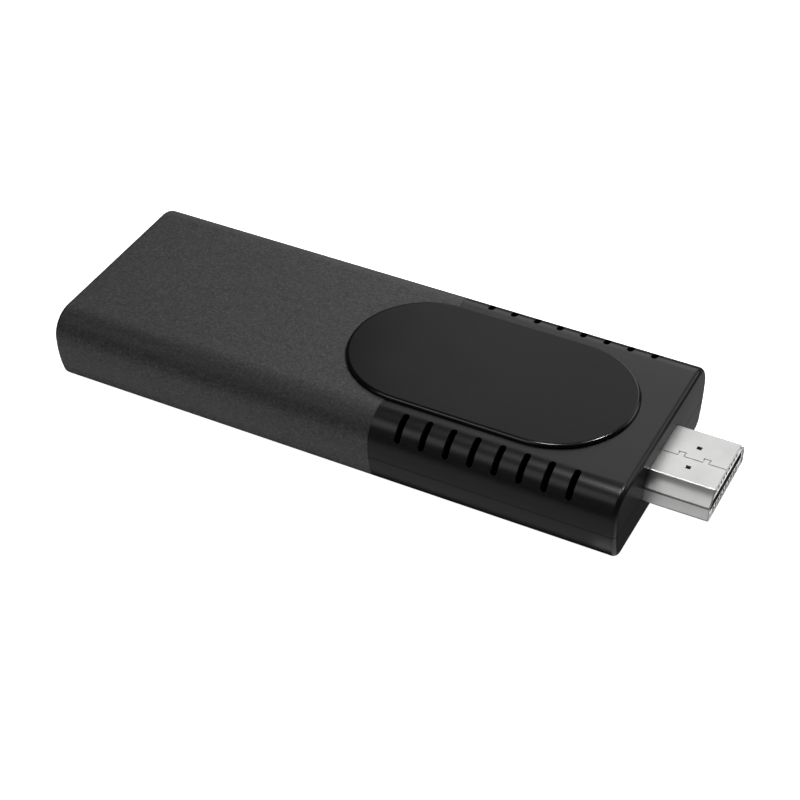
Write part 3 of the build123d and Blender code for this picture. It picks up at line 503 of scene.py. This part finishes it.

# Cards under the table, seen in mirrored faces alone: painted reflections of the table that the
# body, the end wall, the plug's near side and the plug's rim look down on; black cards paint its
# shade, glowing cards paint it lit
cardLook = {"dark": "#0a0a0a", "light": "#121212", "noiseSize": 2.0}
paintedReflectionCards = {
    "bodyCard": {"x": (-0.0505, 0.0385), "y": (-0.0165, 0.0165), "z": -0.0001, "glow": 0.0},
    "wallCard": {"x": (0.0385, 0.049), "y": (-0.0125, 0.0105), "z": -0.005, "glow": 0.1},
    "sideCard": {"x": (0.034, 0.052), "y": (-0.0205, -0.0128), "z": -0.005, "glow": 0.9},
    "farWallCard": {"x": (0.0385, 0.0495), "y": (0.0105, 0.036), "z": -0.005, "glow": 0.45},
    "rimCard": {"x": (0.0505, 0.066), "y": (-0.004, 0.026), "z": -0.005, "glow": 0.8},
}
for cardName, card in paintedReflectionCards.items():
    # Painted reflection: black as painted shade under the body, paler as painted light where the
    # card glows
    cardPaintedReflection, cardTree, cardShader, cardPlace = newSurface(cardName + "PaintedReflection", {
        "Specular IOR Level": 0.0,
        "Emission Color": linearColour("#ffffff"), "Emission Strength": card["glow"],
    })
    cardNoise = addNode(cardTree, "ShaderNodeTexNoise", {
        "Scale": perMm(cardLook["noiseSize"]),
    }, {"Vector": cardPlace})
    cardTone = addNode(cardTree, "ShaderNodeMix", {
        "data_type": "RGBA", 6: linearColour(cardLook["dark"]), 7: linearColour(cardLook["light"]),
    }, {0: cardNoise.outputs["Fac"]})
    cardTree.links.new(cardTone.outputs[2], cardShader.inputs["Base Color"])
    bpy.ops.mesh.primitive_plane_add(size=1.0, location=(0, 0, 0))
    paintedReflectionCard = bpy.context.object
    paintedReflectionCard.name = cardName
    paintedReflectionCard.location = (sum(card["x"]) / 2, sum(card["y"]) / 2, card["z"])
    paintedReflectionCard.scale = (card["x"][1] - card["x"][0], card["y"][1] - card["y"][0], 1.0)
    paintedReflectionCard.data.materials.append(cardPaintedReflection)
    paintedReflectionCard.visible_camera = False
    paintedReflectionCard.visible_diffuse = False
    paintedReflectionCard.visible_shadow = False

# The room is dim above and greyer below, where the table's edge would be
roomLook = {"above": 0.03, "below": 0.33, "edge": (-0.2, -0.5)}
world = bpy.data.worlds.new("studioAir")
bpy.context.scene.world = world
world.use_nodes = True
roomTree = world.node_tree
room = roomTree.nodes["Background"]
room.inputs["Color"].default_value = linearColour("#ffffff")
roomPlace = addNode(roomTree, "ShaderNodeTexCoord")
roomAxes = addNode(roomTree, "ShaderNodeSeparateXYZ", links={"Vector": roomPlace.outputs["Object"]})
roomGlow = addNode(roomTree, "ShaderNodeMapRange", {
    "From Min": roomLook["edge"][0], "From Max": roomLook["edge"][1],
    "To Min": roomLook["above"], "To Max": roomLook["below"],
}, {"Value": roomAxes.outputs["Z"]})
roomTree.links.new(roomGlow.outputs["Result"], room.inputs["Strength"])

# Each lamp: direction from the object, distance, width and height, radiance, and whether faces
# mirror it and scatter it
softboxes = {
    "backSoftbox": {"towards": (-0.12, 0.86, 0.5), "distance": 0.7, "size": (0.43, 0.48),
                    "radiance": 1.38, "mirrored": True, "scattered": True},
    "backFill": {"towards": (0.0, 0.7, 0.71), "distance": 0.7, "size": (0.8, 0.6),
                 "radiance": 3.7, "mirrored": False, "scattered": True},
    "topLamp": {"towards": (0.03, 0.0, 1.0), "distance": 0.3, "size": (0.045, 0.04),
                "radiance": 49.0, "mirrored": True, "scattered": False},
    "rimLamp": {"towards": (0.34, 0.31, 0.89), "distance": 0.4, "size": (0.045, 0.045),
                "radiance": 85.0, "mirrored": True, "scattered": False},
    "frontSoftbox": {"towards": (-0.33, -0.57, 0.75), "distance": 0.6, "size": (0.34, 0.24),
                     "radiance": 1.8, "mirrored": True, "scattered": False},
    "frontGlow": {"towards": (-0.4, -0.9, 0.24), "distance": 0.6, "size": (0.6, 0.28),
                  "radiance": 0.12, "mirrored": True, "scattered": False},
    "rightSoftbox": {"towards": (0.64, 0.69, 0.35), "distance": 0.6, "size": (0.3, 0.25),
                     "radiance": 1.5, "mirrored": True, "scattered": True},
}
lampAim = Vector((0.0, 0.0, 0.006))
for boxName, box in softboxes.items():
    towards = Vector(box["towards"]).normalized()
    bpy.ops.object.light_add(
        type="AREA", location=lampAim + towards * box["distance"],
        rotation=towards.to_track_quat("Z", "Y").to_euler(),
    )
    lamp = bpy.context.object
    lamp.name = boxName
    lamp.data.shape = "RECTANGLE"
    lamp.data.size, lamp.data.size_y = box["size"]
    lamp.data.energy = box["radiance"] * math.pi * box["size"][0] * box["size"][1]
    lamp.visible_glossy = box["mirrored"]
    lamp.visible_diffuse = box["scattered"]

# The photo's view, fitted to corners of the body, the vents, the plate and the plug
cameraLook = {"azimuth": 27.18, "elevation": 39.56, "roll": -0.26, "distance": 0.27551,
              "target": (0.001825, -0.005034, 0.006), "lens": 88.65, "sensor": 36.0,
              "nearest": 0.01}
azimuth = math.radians(cameraLook["azimuth"])
elevation = math.radians(cameraLook["elevation"])
back = Vector((
    math.sin(azimuth) * math.cos(elevation),
    -math.cos(azimuth) * math.cos(elevation),
    math.sin(elevation),
))
turn = (-back).to_track_quat("-Z", "Y") @ Quaternion((0, 0, 1), math.radians(cameraLook["roll"]))
bpy.ops.object.camera_add(
    location=Vector(cameraLook["target"]) + back * cameraLook["distance"],
    rotation=turn.to_euler(),
)
camera = bpy.context.object
camera.data.sensor_width = cameraLook["sensor"]
camera.data.lens = cameraLook["lens"]
camera.data.clip_start = cameraLook["nearest"]
bpy.context.scene.camera = camera
bpy.context.scene.view_settings.view_transform = "Standard"
print("floor, light and camera placed")
